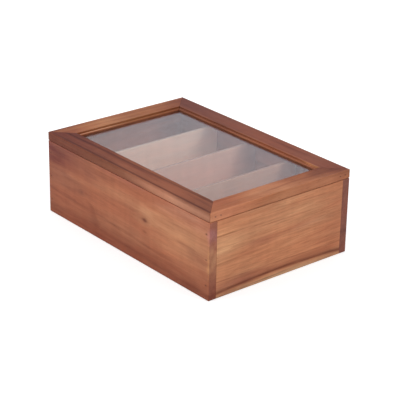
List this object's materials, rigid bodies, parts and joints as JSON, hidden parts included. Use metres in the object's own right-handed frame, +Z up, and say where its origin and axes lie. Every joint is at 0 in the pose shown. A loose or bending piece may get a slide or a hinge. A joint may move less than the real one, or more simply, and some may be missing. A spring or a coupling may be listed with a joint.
{
  "type": "tea bag organizer box",
  "caption": "Wooden tea bag box with a row of compartments under a hinged lid that holds a clear glass pane in a mitred frame.",
  "frame": {"origin": "middle of the underside, on the face that the box rests on", "axes": "+Z up; +X along the long side, to the right seen from the front; -Y is the front and the hinges are at +Y"},
  "size_m": [0.28, 0.1963, 0.0951],
  "materials": {
    "wood_front": "satin",
    "wood_back": "satin",
    "wood_left_end": "satin",
    "wood_right_end": "satin",
    "plywood": "matte",
    "pale_wood": "matte",
    "wood_front_rail": "satin",
    "wood_right_rail": "satin",
    "wood_back_rail": "satin",
    "wood_left_rail": "satin",
    "bead_wood": "satin",
    "clear_glass": "clear",
    "hinge_brass": "satin",
    "pin_brass": "satin",
    "screw_brass": "satin",
    "brad_steel": "dull"
  },
  "bodies": {
    "box": {"front_board": "wood_front", "back_board": "wood_back", "left_end_board": "wood_left_end", "right_end_board": "wood_right_end", "base_panel": "plywood", "base_panel_pins": "brad_steel", "divider_1": "pale_wood", "divider_2": "pale_wood", "divider_3": "pale_wood", "body_corner_brads": "brad_steel", "hinge_left_body_leaf": "hinge_brass", "hinge_left_pin": "pin_brass", "hinge_right_body_leaf": "hinge_brass", "hinge_right_pin": "pin_brass", "hinge_body_screws": "screw_brass"},
    "lid": {"lid_front_rail": "wood_front_rail", "lid_right_rail": "wood_right_rail", "lid_back_rail": "wood_back_rail", "lid_left_rail": "wood_left_rail", "glass_pane": "clear_glass", "glazing_bead_front": "bead_wood", "glazing_bead_right": "bead_wood", "glazing_bead_back": "bead_wood", "glazing_bead_left": "bead_wood", "glazing_pins": "brad_steel", "lid_corner_brads": "brad_steel", "hinge_left_lid_leaf": "hinge_brass", "hinge_right_lid_leaf": "hinge_brass", "hinge_lid_screws": "screw_brass"}
  },
  "joints": [
    {"name": "lid_hinge", "type": "hinge", "parent": "box", "child": "lid", "pos_m": [0, 0.0974, 0.0853], "axis": [-1, 0, 0], "range_deg": [0, 100]}
  ]
}
